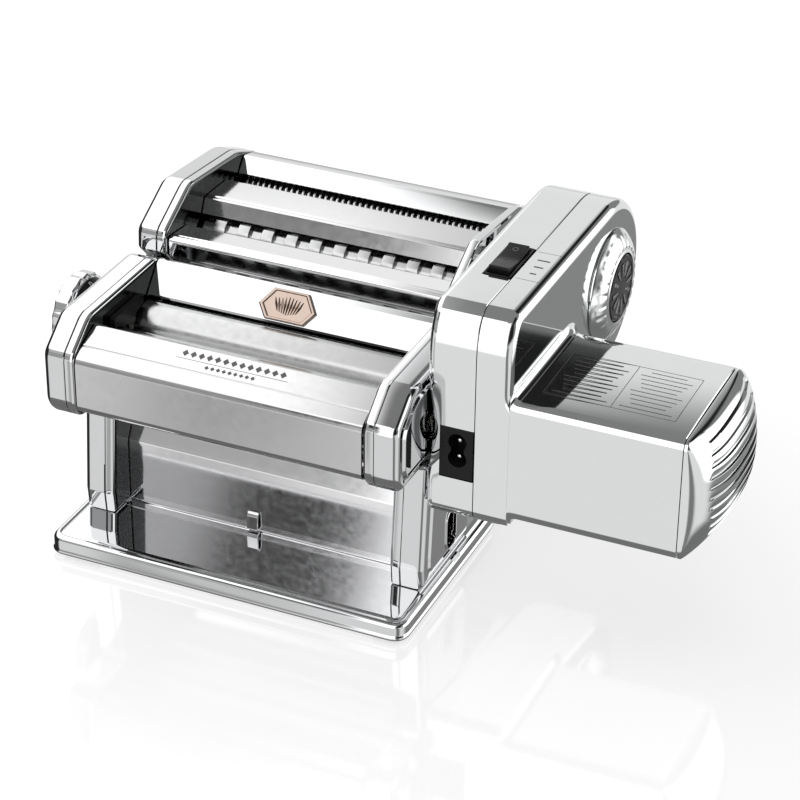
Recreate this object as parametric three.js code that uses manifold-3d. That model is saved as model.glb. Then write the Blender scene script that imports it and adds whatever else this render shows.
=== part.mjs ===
// Motor-driven pasta roller machine: a pressed-steel rolling head on a base plate, a lift-off
// cutter attachment behind it and a plug-in electric drive on its right-hand side.
// Millimetres, +Z up. While it is built, x = 0 is the middle of the dough sheet (+X towards the
// drive), y = 0 the front of the base (+Y to the back) and z = 0 the lower rim of the base.
// The last lines move the origin to the middle of the footprint, on the surface it stands on.
import * as THREE from "three";
import { mergeVertices } from "three/addons/utils/BufferGeometryUtils.js";
import Module from "manifold-3d";

const wasm = await Module();
wasm.setup();

// ---------- driving dimensions ----------
const GAP = 0.3; // clearance between pieces that touch on the real machine
const SHEET = 1.2; // pressed covers and hoods
const SIDE = { inner: 75, floor: 77, rim: 80.4, coverIn: 80.7, coverOut: 92.8, wall: 1.4 };
const ROLL_HALF = 73.2; // half length of every roller
const BASE = { halfWidth: 96.5, front: -1, back: 119, top: 9.2, corner: 9, wall: 1.6 };
const FOOT = { radius: 7, below: 1.8, inset: 14.5, front: 12, back: 106 };

const ROLLER = { radius: 13.6, shaft: 5, z: 100 };
const FIXED_Y = 34;
const WIDEST_Y = 65.6; // adjustable roller at the widest gap
const GAP_TRAVEL = 4.2; // gap from 4.4 down to 0.2
const ROLLER_GEAR = { teeth: 10, root: 10.7, tip: 16.2, x0: 81.2, x1: 87.5 };

const DIAL = { y: 63.4, z: 100, rim: 21.6, neck: 12.9, bore: 5.4, cavity: 9.5, end: -113.6 };

const CUTTER = { radius: 11.4, shaft: 4, pitch: 23, gearX0: -87, gearX1: -80.9, gearTeeth: 14 };
const WIDE = { y: 112.4, z: 120.5 }; // front roller of the wide pair
const FINE = { y: 158.4, z: 124.6 }; // front roller of the fine pair

const DRIVE = { inner: 95.3, seam0: 117.8, seam1: 118.1, face: 135, barrelEnd: 217.7, wall: 2.2 };
const DRIVE_BODY = { front: 28, top: 167, bottom: 57, corner: 7, backY: 159, backZ: 123, backR: 44 };
const END_CAP = { start: 218, bulge: 17.6 };
const MOTOR = { y: 74.5, z: 98.5, radius: 21, x0: 140, x1: 210 };
const STAGE_1 = { pinion: 7, pinionTeeth: 7, wheel: 34, wheelTeeth: 34 };
const STAGE_2 = { pinion: 9, pinionTeeth: 9, wheel: 38, wheelTeeth: 38 };
const OUTPUT_TIP = 81; // how far the output shaft reaches into the driven roller
const INLET = { x: 109.8, z: 94.6, pinSpacing: 8.6 };
const SWITCH = { x0: 104.1, x1: 117.5, y0: 67.6, y1: 100.4, pivotY: 84, pivotZ: 162 };

// ---------- materials ----------
const finish = (color, roughness, metalness) =>
  new THREE.MeshStandardMaterial({ color, roughness, metalness });
const CHROME = finish(0xd9dbdd, 0.12, 1);
const BRUSHED = finish(0xb4b6b8, 0.35, 1);
const STEEL = finish(0x8f9294, 0.4, 1);
const SATIN_SILVER = finish(0xc6c8ca, 0.3, 0.8);
const BLACK_PLASTIC = finish(0x17181a, 0.45, 0);
const RUBBER = finish(0x202022, 0.9, 0);
const NYLON = finish(0xdcdad2, 0.6, 0);

// ---------- solids ----------
function solid(geometry) {
  const bare = geometry.clone();
  bare.deleteAttribute("normal");
  bare.deleteAttribute("uv");
  const merged = mergeVertices(bare, 1e-4);
  const vertProperties = new Float32Array(merged.attributes.position.array);
  const triVerts = new Uint32Array(merged.index.array);
  const made = new wasm.Manifold(new wasm.Mesh({ numProp: 3, vertProperties, triVerts }));
  if (made.volume() > 0) return made;
  for (let i = 0; i < triVerts.length; i += 3) {
    [triVerts[i + 1], triVerts[i + 2]] = [triVerts[i + 2], triVerts[i + 1]];
  }
  return new wasm.Manifold(new wasm.Mesh({ numProp: 3, vertProperties, triVerts }));
}

function geometryOf(manifold) {
  const mesh = manifold.getMesh();
  const geometry = new THREE.BufferGeometry();
  geometry.setAttribute("position", new THREE.BufferAttribute(mesh.vertProperties, 3));
  geometry.setIndex(new THREE.BufferAttribute(mesh.triVerts, 1));
  geometry.computeVertexNormals();
  return geometry;
}

function cut(geometry, ...tools) {
  return geometryOf(tools.reduce((body, tool) => body.subtract(solid(tool)), solid(geometry)));
}

function join(geometry, ...others) {
  return geometryOf(others.reduce((body, other) => body.add(solid(other)), solid(geometry)));
}

const mirrored = (geometry) => geometryOf(solid(geometry.clone().scale(-1, 1, 1)));

// ---------- outlines and simple shapes ----------
const pointOf = ([a, b]) => new THREE.Vector2(a, b);

// A closed outline from corners [a, b, radius], each rounded by its radius.
function outline(corners) {
  const shape = new THREE.Shape();
  corners.forEach((corner, i) => {
    const here = pointOf(corner);
    const radius = corner[2] || 0;
    const toPrevious = pointOf(corners.at(i - 1)).sub(here).setLength(radius);
    const toNext = pointOf(corners[(i + 1) % corners.length]).sub(here).setLength(radius);
    const start = here.clone().add(toPrevious);
    const end = here.clone().add(toNext);
    if (i === 0) shape.moveTo(start.x, start.y);
    else shape.lineTo(start.x, start.y);
    if (radius > 0) shape.quadraticCurveTo(here.x, here.y, end.x, end.y);
  });
  shape.closePath();
  return shape;
}

// The same corners, moved in by a wall thickness (corners run anticlockwise).
function inset(corners, wall) {
  return corners.map((corner, i) => {
    const here = pointOf(corner);
    const into = here.clone().sub(pointOf(corners.at(i - 1))).normalize();
    const out = pointOf(corners[(i + 1) % corners.length]).sub(here).normalize();
    const normal = new THREE.Vector2(-into.y - out.y, into.x + out.x).normalize();
    const reach = wall / Math.max(0.3, normal.dot(new THREE.Vector2(-into.y, into.x)));
    const radius = Math.max(0, (corner[2] || 0) - 0.5 * wall);
    return [here.x + normal.x * reach, here.y + normal.y * reach, radius];
  });
}

const TO_SIDE = new THREE.Matrix4().makeBasis(
  new THREE.Vector3(0, 1, 0),
  new THREE.Vector3(0, 0, 1),
  new THREE.Vector3(1, 0, 0),
);

// A side-view (y, z) shape made into a slab from x0 to x1.
function slab(shape, x0, x1, curveSegments = 4) {
  const options = { depth: x1 - x0, bevelEnabled: false, curveSegments };
  return new THREE.ExtrudeGeometry(shape, options).applyMatrix4(TO_SIDE).translate(x0, 0, 0);
}

function plate(corners, z0, z1) {
  const options = { depth: z1 - z0, bevelEnabled: false, curveSegments: 4 };
  return new THREE.ExtrudeGeometry(outline(corners), options).translate(0, 0, z0);
}

function block(x0, x1, y0, y1, z0, z1) {
  const box = new THREE.BoxGeometry(x1 - x0, y1 - y0, z1 - z0);
  return box.translate((x0 + x1) / 2, (y0 + y1) / 2, (z0 + z1) / 2);
}

function rod(x0, x1, y, z, radius, sides = 24) {
  const cylinder = new THREE.CylinderGeometry(radius, radius, x1 - x0, sides);
  return cylinder.rotateZ(-Math.PI / 2).translate((x0 + x1) / 2, y, z);
}

// A profile of [radius, x] points turned about the X axis.
function turned(profile, sides = 32) {
  return new THREE.LatheGeometry(profile.map(pointOf), sides).rotateZ(-Math.PI / 2);
}

// A folded sheet: its outer face follows the (y, z) points, its thickness lies to their right.
function sheet(points, x0, x1, thickness = SHEET) {
  const line = points.map(pointOf);
  const back = line.map((here, i) => {
    const into = line[Math.max(i, 1)].clone().sub(line[Math.max(i, 1) - 1]).normalize();
    const last = Math.min(i + 1, line.length - 1);
    const out = line[last].clone().sub(line[last - 1]).normalize();
    const normal = new THREE.Vector2(into.y + out.y, -into.x - out.x).normalize();
    const reach = thickness / normal.dot(new THREE.Vector2(into.y, -into.x));
    return here.clone().addScaledVector(normal, reach);
  });
  return slab(new THREE.Shape([...line, ...back.reverse()]), x0, x1);
}

// A toothed wheel about the X axis, with its first tooth at the given angle.
function gear(teeth, root, tip, x0, x1, firstTooth = 0) {
  const points = [];
  const step = (2 * Math.PI) / teeth;
  const corners = [[-0.28, root], [-0.12, tip], [0.12, tip], [0.28, root]];
  for (let i = 0; i < teeth; i++) {
    for (const [part, radius] of corners) {
      const angle = firstTooth + (i + part) * step;
      points.push(new THREE.Vector2(radius * Math.cos(angle), radius * Math.sin(angle)));
    }
  }
  return slab(new THREE.Shape(points), x0, x1);
}

function piece(name, geometry, material, parent, position = [0, 0, 0]) {
  const mesh = new THREE.Mesh(geometryOf(solid(geometry)), material);
  mesh.name = name;
  mesh.position.set(...position);
  parent.add(mesh);
  return mesh;
}

function group(parent) {
  const made = new THREE.Group();
  if (parent) parent.add(made);
  return made;
}

// ---------- side outlines ----------
// Rolling head with its leg, anticlockwise from the front of the leg.
const HEAD = [
  [29.4, BASE.top + GAP, 0],
  [90, BASE.top + GAP, 0],
  [87, 79.5, 4],
  [94, 79.5, 3],
  [98, 84.5, 3],
  [98, 116.5, 3],
  [84, 129, 4],
  [16.6, 129, 4],
  [-1.5, 115, 4],
  [-1.5, 86, 5],
  [5, 79.5, 3],
  [35.2, 79.5, 6],
];

const CUTTER_SIDE = [
  [99.2, 97, 2],
  [182, 99, 10],
  [194, 112, 6],
  [197.5, 129, 4],
  [196.5, 139.5, 4],
  [174.7, 148.5, 4],
  [121, 153.4, 4],
  [93, 138, 4],
  [92.4, 126.6, 1.5],
  [99.2, 119.5, 1],
];

const BARREL = [
  [28, 63, 6],
  [112, 63, 15],
  [112, 126, 14],
  [28, 126, 5],
];

// A tray-shaped side: a floor plate with a rim round the whole outline, open towards +X or -X.
function pan(corners, x0, x1, wall, floorAtHighX) {
  const hollow0 = floorAtHighX ? x0 - 1 : x0 + wall;
  const hollow1 = floorAtHighX ? x1 - wall : x1 + 1;
  const hollow = slab(outline(inset(corners, wall)), hollow0, hollow1);
  return cut(slab(outline(corners), x0, x1), hollow);
}

// ---------- base and feet ----------
function baseGeometry() {
  const w = BASE.halfWidth;
  const corners = (d) => [
    [-w + d, BASE.front + d, BASE.corner - d],
    [w - d, BASE.front + d, BASE.corner - d],
    [w - d, BASE.back - d, BASE.corner - d],
    [-w + d, BASE.back - d, BASE.corner - d],
  ];
  const hollow = plate(corners(BASE.wall), -1, BASE.top - BASE.wall);
  return cut(plate(corners(0), 0, BASE.top), hollow);
}

function footGeometry() {
  const height = FOOT.below + BASE.top - BASE.wall - GAP;
  const cylinder = new THREE.CylinderGeometry(FOOT.radius - 0.6, FOOT.radius, height, 20);
  return cylinder.rotateX(Math.PI / 2).translate(0, 0, height / 2 - FOOT.below);
}

function addBase(root) {
  piece("base_plate", baseGeometry(), CHROME, root);
  const x = BASE.halfWidth - FOOT.inset;
  const places = {
    foot_front_left: [-x, FOOT.front],
    foot_front_right: [x, FOOT.front],
    foot_rear_left: [-x, FOOT.back],
    foot_rear_right: [x, FOOT.back],
  };
  for (const [name, [px, py]] of Object.entries(places)) {
    piece(name, footGeometry(), RUBBER, root, [px, py, 0]);
  }
}

// ---------- rolling head ----------
const BUSH_R = 8;
const SLIDE_BUSH = { halfY: 8.5, halfZ: 7.5 };

function sideFrameGeometry() {
  const slotFrom = WIDEST_Y - GAP_TRAVEL - SLIDE_BUSH.halfY - GAP;
  const slotTo = WIDEST_Y + SLIDE_BUSH.halfY + GAP;
  const halfZ = SLIDE_BUSH.halfZ + GAP;
  const slot = block(70, 85, slotFrom, slotTo, ROLLER.z - halfZ, ROLLER.z + halfZ);
  const bore = rod(70, 85, FIXED_Y, ROLLER.z, BUSH_R + GAP);
  return cut(pan(HEAD, SIDE.inner, SIDE.rim, SIDE.floor - SIDE.inner, false), slot, bore);
}

// The clamp hole is a tall oval near the foot; the lug carries the cutter attachment.
function sideCoverGeometry(holeY, holeZ, holeR) {
  const shell = pan(HEAD, SIDE.coverIn, SIDE.coverOut, SIDE.wall, true);
  const clampHole = outline([[56, 18, 5], [68, 18, 5], [68, 39, 5], [56, 39, 5]]);
  const open = cut(
    shell,
    slab(clampHole, SIDE.coverOut - 4, SIDE.coverOut + 2),
    rod(SIDE.coverOut - 4, SIDE.coverOut + 2, holeY, holeZ, holeR),
  );
  return join(open, block(83.5, 89, 97, 103.5, 90, 106));
}

function bushGeometry(x0, x1) {
  return cut(rod(x0, x1, 0, 0, BUSH_R), rod(x0 - 1, x1 + 1, 0, 0, ROLLER.shaft + GAP));
}

function slideBushGeometry(x0, x1) {
  const { halfY, halfZ } = SLIDE_BUSH;
  const body = block(x0, x1, -halfY, halfY, -halfZ, halfZ);
  return cut(body, rod(x0 - 1, x1 + 1, 0, 0, ROLLER.shaft + GAP));
}

function endGuideGeometry() {
  const corners = [
    [33, 115.2, 0], [40, 114, 0], [46, 110.6, 0], [49.5, 108.6, 1],
    [54, 113.4, 0], [62, 115.6, 0], [62, 120, 1.5], [33, 120, 1.5],
  ];
  return slab(outline(corners), 71.6, 74.6);
}

function addHead(root) {
  const frame = sideFrameGeometry();
  piece("side_frame_right", frame, STEEL, root);
  piece("side_frame_left", mirrored(frame), STEEL, root);
  piece("side_cover_right", sideCoverGeometry(FIXED_Y, ROLLER.z, 6.5), CHROME, root);
  piece("side_cover_left", mirrored(sideCoverGeometry(DIAL.y, DIAL.z, 5.8)), CHROME, root);

  const w = 74.5;
  const panel = [[46.5, BASE.top + GAP], [46.5, 44], [60, 71]];
  piece("back_panel", sheet(panel, -w, w, 1.4), BRUSHED, root);
  const hood = [[11, 84.6], [0.5, 84.6], [-1.2, 87], [-1.2, 115], [19.5, 123.7], [22, 120.5]];
  piece("front_hood", sheet(hood, -w, w), BRUSHED, root);
  const rear = [[70.7, 114.5], [83.3, 128.3], [86.6, 128.3], [86.6, 86]];
  piece("rear_hood", sheet(rear, -w, w), CHROME, root);
  addHoodBadge(root);

  piece("front_scraper", sheet([[18.5, 83], [29, 87.2]], -72.5, 72.5, 0.8), STEEL, root);
  piece("rear_scraper", sheet([[70.8, 87.2], [81.5, 83]], -72.5, 72.5, 0.8), STEEL, root);
  piece("tie_rod_front", rod(-w, w, 14, 91, 4, 16), STEEL, root);
  piece("tie_rod_rear", rod(-w, w, 80.4, 89.5, 4, 16), STEEL, root);

  const guide = endGuideGeometry();
  piece("end_guide_right", guide, BLACK_PLASTIC, root);
  piece("end_guide_left", mirrored(guide), BLACK_PLASTIC, root);
  const at = [0, FIXED_Y, ROLLER.z];
  piece("fixed_bush_right", bushGeometry(73.6, 80.2), NYLON, root, at);
  piece("fixed_bush_left", bushGeometry(-80.2, -73.6), NYLON, root, at);
}

// A plain six-sided name plate lies on the slope of the rear hood.
function addHoodBadge(root) {
  const slope = Math.atan2(128.3 - 114.5, 83.3 - 70.7);
  const sides = [[-13, 0], [-7.5, -7], [7.5, -7], [13, 0], [7.5, 7], [-7.5, 7]];
  const badge = piece("hood_badge", plate(sides, GAP, 1.6), CHROME, root);
  badge.position.set(0, 77, 121.4);
  badge.rotation.x = slope;
}

// ---------- smooth rollers and dial ----------
function rollerGeometry(left, right, socket) {
  const body = join(
    rod(-ROLL_HALF, ROLL_HALF, 0, 0, ROLLER.radius, 32),
    rod(left, right, 0, 0, ROLLER.shaft, 24),
  );
  return socket ? cut(body, block(right - 9, right + 1, -2.6, 2.6, -2.6, 2.6)) : body;
}

function rollerGearGeometry(firstTooth) {
  const { teeth, root, tip, x0, x1 } = ROLLER_GEAR;
  const wheel = gear(teeth, root, tip, x0, x1, firstTooth);
  return cut(wheel, rod(x0 - 1, x1 + 1, 0, 0, ROLLER.shaft + GAP));
}

function addRollers(root) {
  const fixed = group(root);
  fixed.position.set(0, FIXED_Y, ROLLER.z);
  piece("fixed_roller", rollerGeometry(-80, 90.5, true), BRUSHED, fixed);
  piece("fixed_roller_gear", rollerGearGeometry(0), NYLON, fixed);

  const carrier = group(root);
  carrier.position.set(0, WIDEST_Y, ROLLER.z);
  piece("gap_bush_right", slideBushGeometry(73.6, 80.2), NYLON, carrier);
  piece("gap_bush_left", slideBushGeometry(-80.2, -73.6), NYLON, carrier);
  piece("adjustable_roller", rollerGeometry(-80, 88.5, false), BRUSHED, carrier);
  const halfTooth = Math.PI / ROLLER_GEAR.teeth;
  piece("adjustable_roller_gear", rollerGearGeometry(Math.PI + halfTooth), NYLON, carrier);
}

// Cam disc, shaft and end button of the gap dial, turned about its own axis.
function dialShaftGeometry() {
  return turned([
    [0, -80.6], [9, -80.6], [9, -85], [5, -85], [5, -110.6], [9.1, -110.6], [9.1, -113],
    [0, -113],
  ], 24);
}

function dialKnobGeometry() {
  const { rim, neck, bore, cavity, end } = DIAL;
  return turned([
    [bore, -94.4], [neck, -94.4], [neck, -104.8], [rim - 1.4, -104.8], [rim, -106],
    [rim, end + 1], [rim - 1, end], [cavity, end], [cavity, -101.4], [bore, -101.4],
    [bore, -94.4],
  ]);
}

function dialRingGeometry() {
  const inner = DIAL.neck + GAP;
  return turned([
    [inner, -98.6], [15.6, -98.6], [19.2, -104.5], [inner, -104.5], [inner, -98.6],
  ]);
}

// The knob's return spring, drawn at its pulled-out length against the end button.
function dialSpringGeometry() {
  class Helix extends THREE.Curve {
    getPoint(t) {
      const angle = t * 3 * 2 * Math.PI;
      return new THREE.Vector3(-109.6 + t * 3.6, 7.2 * Math.cos(angle), 7.2 * Math.sin(angle));
    }
  }
  const wire = new THREE.Shape().absarc(0, 0, 0.4, 0, 2 * Math.PI);
  const options = { steps: 27, extrudePath: new Helix(), bevelEnabled: false, curveSegments: 3 };
  return new THREE.ExtrudeGeometry(wire, options);
}

function addDial(root) {
  const dial = group(root);
  dial.position.set(0, DIAL.y, DIAL.z);
  piece("dial_shaft", dialShaftGeometry(), STEEL, dial);
  piece("dial_spring", dialSpringGeometry(), STEEL, dial);
  piece("dial_knob", dialKnobGeometry(), CHROME, dial);
  piece("dial_ring", dialRingGeometry(), BLACK_PLASTIC, dial);
}

// ---------- cutter attachment ----------
const CUTTER_AXES = [
  ["wide_cutter_front", "wide_gear_front", WIDE.y, WIDE.z, 0],
  ["wide_cutter_rear", "wide_gear_rear", WIDE.y + CUTTER.pitch, WIDE.z, 1],
  ["fine_cutter_front", "fine_gear_front", FINE.y, FINE.z, 0],
  ["fine_cutter_rear", "fine_gear_rear", FINE.y + CUTTER.pitch, FINE.z, 1],
];

function cutterSideGeometry() {
  const bores = CUTTER_AXES.map(([, , y, z]) => rod(70, 85, y, z, CUTTER.shaft + GAP, 20));
  return cut(pan(CUTTER_SIDE, SIDE.inner, SIDE.rim, SIDE.floor - SIDE.inner, false), ...bores);
}

// The slot at the front edge drops over the lug of the side cover.
function cutterCoverGeometry(holes) {
  const shell = pan(CUTTER_SIDE, SIDE.coverIn, SIDE.coverOut, SIDE.wall, true);
  const tools = holes.map(({ y, z }) => rod(85, 96, y, z, 7.5));
  return cut(shell, block(83.1, 89.4, 96, 105, 90, 106.4), ...tools);
}

function cutterRollerGeometry(right, socket) {
  const body = join(
    rod(-ROLL_HALF, ROLL_HALF, 0, 0, CUTTER.radius, 28),
    rod(-88, right, 0, 0, CUTTER.shaft, 20),
  );
  if (!socket) return body;
  const hub = join(body, rod(78.5, right, 0, 0, 6.4, 20));
  return cut(hub, rod(OUTPUT_TIP - 1, right + 1, 0, 0, 4.2, 6));
}

function cutterGearGeometry(odd) {
  const { pitch, gearTeeth, gearX0, gearX1, shaft } = CUTTER;
  const tip = pitch / 2 - 0.15;
  const firstTooth = odd ? Math.PI / gearTeeth : 0;
  const wheel = gear(gearTeeth, tip - 1.4, tip, gearX0, gearX1, firstTooth);
  return cut(wheel, rod(gearX0 - 1, gearX1 + 1, 0, 0, shaft + GAP, 20));
}

function addCutterAttachment(root) {
  const attachment = group(root);
  const side = cutterSideGeometry();
  piece("cutter_side_right", side, STEEL, attachment);
  piece("cutter_side_left", mirrored(side), STEEL, attachment);
  piece("cutter_cover_right", cutterCoverGeometry([WIDE, FINE]), CHROME, attachment);
  piece("cutter_cover_left", mirrored(cutterCoverGeometry([])), CHROME, attachment);

  const w = 74.5;
  const front = [[94.6, 124], [94.6, 135], [113, 133.6]];
  piece("cutter_front_cover", sheet(front, -w, w), CHROME, attachment);
  const middle = [[130.6, 132.8], [134, 140.6], [158, 139.8], [160, 137.8]];
  piece("cutter_middle_cover", sheet(middle, -w, w), BRUSHED, attachment);
  const rear = [[171.8, 138], [178.5, 145.3], [192.5, 141.5], [195.4, 128], [192.6, 113]];
  piece("cutter_rear_cover", sheet(rear, -w, w), CHROME, attachment);
  const wideComb = [[108, 104], [119.5, 108]];
  piece("wide_stripper", sheet(wideComb, -72.5, 72.5, 0.8), STEEL, attachment);
  const fineComb = [[154, 107.5], [165.5, 111.5]];
  piece("fine_stripper", sheet(fineComb, -72.5, 72.5, 0.8), STEEL, attachment);

  for (const [roller, wheel, y, z, odd] of CUTTER_AXES) {
    const axle = group(attachment);
    axle.position.set(0, y, z);
    const driven = odd === 0;
    piece(roller, cutterRollerGeometry(driven ? 90 : 84, driven), BRUSHED, axle);
    piece(wheel, cutterGearGeometry(odd === 1), NYLON, axle);
  }
  return attachment;
}

// ---------- drive unit ----------
function driveOutline(wall = 0) {
  const { front, top, bottom, corner, backY, backZ, backR } = DRIVE_BODY;
  const lean = Math.PI * 0.0545; // slope of the underside, tangent to the round back
  const shape = new THREE.Shape();
  shape.moveTo(front + wall, bottom + corner);
  shape.absarc(front + corner, bottom + corner, corner - wall, Math.PI, 1.5 * Math.PI + lean, false);
  shape.absarc(backY, backZ, backR - wall, -0.5 * Math.PI + lean, 0.5 * Math.PI, false);
  shape.absellipse(front + 13, top - 17, 13 - wall, 17 - wall, 0.5 * Math.PI, Math.PI, false);
  shape.closePath();
  return shape;
}

function innerHousingGeometry() {
  const { inner, seam0, wall } = DRIVE;
  const shell = cut(
    slab(driveOutline(), inner, seam0, 12),
    slab(driveOutline(wall), inner + wall, seam0 + 1, 12),
  );
  const bayonet = cut(
    rod(inner - 1.8, inner + 0.5, FINE.y, FINE.z, 14, 32),
    rod(inner - 3, inner + 2, FINE.y, FINE.z, 9, 24),
  );
  return cut(
    join(shell, bayonet),
    rod(inner - 3, inner + wall + 1, FINE.y, FINE.z, 6.8, 24),
    block(100.6, seam0 + 1, 26, 32, 79, 107),
    block(103.8, seam0 + 1, 67.3, 100.7, 160, 170),
  );
}

function outerHousingGeometry() {
  const { seam1, face, barrelEnd, wall } = DRIVE;
  const outside = join(
    slab(driveOutline(), seam1, face, 12),
    slab(outline(BARREL), face - 1, barrelEnd, 4),
  );
  return cut(
    outside,
    slab(driveOutline(wall), seam1 - 1, face - wall, 12),
    slab(outline(inset(BARREL, wall)), face - 5, barrelEnd + 1, 4),
  );
}

// The cap is a pillow: each ring is the barrel outline drawn in as the bulge rises.
function endCapGeometry() {
  const rings = 6;
  const loop = outline(inset(BARREL, 0)).getPoints(4).slice(0, -1);
  const middle = new THREE.Vector2(70, 94.5);
  const positions = [];
  const index = [];
  for (let i = 0; i <= rings; i++) {
    const turn = (i / rings) * 0.5 * Math.PI * 0.9;
    const shrink = Math.cos(turn) ** 0.45;
    const x = END_CAP.start + (END_CAP.bulge * Math.sin(turn)) / Math.sin(0.5 * Math.PI * 0.9);
    for (const p of loop) {
      const q = p.clone().sub(middle).multiplyScalar(shrink).add(middle);
      positions.push(x, q.x, q.y);
    }
  }
  const n = loop.length;
  for (let i = 0; i < rings; i++) {
    for (let j = 0; j < n; j++) {
      const k = (j + 1) % n;
      const [a, b, c, d] = [i * n + j, i * n + k, (i + 1) * n + j, (i + 1) * n + k];
      index.push(a, b, d, a, d, c);
    }
  }
  const flat = THREE.ShapeUtils.triangulateShape(loop, []);
  for (const [a, b, c] of flat) {
    index.push(a, c, b);
    index.push(rings * n + a, rings * n + b, rings * n + c);
  }
  const geometry = new THREE.BufferGeometry();
  geometry.setAttribute("position", new THREE.Float32BufferAttribute(positions, 3));
  geometry.setIndex(index);
  const recess = slab(outline(inset(BARREL, 4)), END_CAP.start - 1, END_CAP.start + 3, 4);
  return cut(geometry, recess);
}

// A round opening along Y, for the mains plug.
function plugBore(z, radius, y0, y1, sides) {
  const cylinder = new THREE.CylinderGeometry(radius, radius, y1 - y0, sides);
  return cylinder.translate(INLET.x, (y0 + y1) / 2, z);
}

function inletGeometry() {
  const low = INLET.z - INLET.pinSpacing / 2;
  const high = INLET.z + INLET.pinSpacing / 2;
  const recess = [low, high].map((z) => plugBore(z, 4.6, 26, 40, 20));
  const waist = block(INLET.x - 3.2, INLET.x + 3.2, 26, 40, low, high);
  const body = cut(block(100.9, 117.5, 27.7, 44, 79.3, 106.7), ...recess, waist);
  return join(body, ...[low, high].map((z) => plugBore(z, 1.2, 30.5, 41, 10)));
}

function bezelGeometry() {
  const { x0, x1, y0, y1 } = SWITCH;
  return cut(
    block(x0, x1, y0, y1, 155, 167.6),
    block(x0 + 1.2, x1 - 1.2, y0 + 1.4, y1 - 1.4, 157, 169),
  );
}

function rockerGeometry() {
  const half = 13;
  const dish = [
    [-half, -1.5, 1], [half, -1.5, 1], [half, 8.4, 0.8], [0, 6.2, 0], [-half, 8.4, 0.8],
  ];
  return slab(outline(dish), SWITCH.x0 + 1.5, SWITCH.x1 - 1.5);
}

function badgeRingGeometry() {
  const x = DRIVE.face + GAP;
  return turned([[17.2, x], [28.7, x], [28.7, x + 1], [17.2, x + 6.6], [17.2, x]], 40);
}

// The axle of the first wheel lies between the motor and the output shaft.
function idlerAxis() {
  const first = STAGE_1.pinion + STAGE_1.wheel;
  const span = first + STAGE_2.pinion + STAGE_2.wheel;
  const y = MOTOR.y + ((FINE.y - MOTOR.y) * first) / span;
  const z = MOTOR.z + ((FINE.z - MOTOR.z) * first) / span;
  return [0, y, z];
}

const toothed = (teeth, radius, x0, x1) => gear(teeth, radius - 1.5, radius - 0.15, x0, x1);

function addDrive(attachment) {
  const drive = group(attachment);
  piece("drive_inner_housing", innerHousingGeometry(), SATIN_SILVER, drive);
  piece("drive_outer_housing", outerHousingGeometry(), SATIN_SILVER, drive);
  piece("motor_end_cap", endCapGeometry(), CHROME, drive);
  const badgeAt = [0, FINE.y, FINE.z];
  piece("badge_ring", badgeRingGeometry(), CHROME, drive, badgeAt);
  piece("badge_disc", rod(135.3, 142.4, 0, 0, 16.8, 32), BLACK_PLASTIC, drive, badgeAt);
  piece("switch_bezel", bezelGeometry(), BLACK_PLASTIC, drive);
  piece("mains_inlet", inletGeometry(), BLACK_PLASTIC, drive);
  const rockerAt = [0, SWITCH.pivotY, SWITCH.pivotZ];
  piece("switch_rocker", rockerGeometry(), BLACK_PLASTIC, drive, rockerAt);

  const motorAt = [0, MOTOR.y, MOTOR.z];
  piece("motor", rod(MOTOR.x0, MOTOR.x1, 0, 0, MOTOR.radius, 28), STEEL, drive, motorAt);
  const pinion = toothed(STAGE_1.pinionTeeth, STAGE_1.pinion, 121, 131);
  const motorShaft = join(pinion, rod(119.5, MOTOR.x0 - GAP, 0, 0, 2.5, 16));
  piece("motor_shaft", motorShaft, STEEL, drive, motorAt);

  const firstWheel = toothed(STAGE_1.wheelTeeth, STAGE_1.wheel, 122, 129);
  const secondPinion = toothed(STAGE_2.pinionTeeth, STAGE_2.pinion, 103, 122.5);
  const axle = rod(98, 132, 0, 0, 3, 16);
  piece("reduction_gear", join(firstWheel, secondPinion, axle), NYLON, drive, idlerAxis());

  const lastWheel = toothed(STAGE_2.wheelTeeth, STAGE_2.wheel, 104, 112);
  const outputShaft = join(lastWheel, rod(93, 132, 0, 0, 6, 20), rod(OUTPUT_TIP, 94, 0, 0, 3.8, 6));
  piece("output_shaft", outputShaft, STEEL, drive, badgeAt);
}

// ---------- assembly ----------
const machine = group();
addBase(machine);
addHead(machine);
addRollers(machine);
addDial(machine);
addDrive(addCutterAttachment(machine));

const box = new THREE.Box3().setFromObject(machine);
const centre = box.getCenter(new THREE.Vector3());
machine.position.set(-centre.x, -centre.y, -box.min.z);

const root = group();
root.add(machine);

export default root;
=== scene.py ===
"""Motor-driven pasta roller machine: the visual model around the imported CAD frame.

Machine millimetres, as in the CAD source: x = 0 is the middle of the dough sheet (+X towards
the drive), y = 0 the front of the base (+Y to the back), z = 0 the base's lower rim.
at() turns them into metres in the row frame.
"""
import math

import bmesh
import bpy
from mathutils import Matrix, Vector

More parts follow.
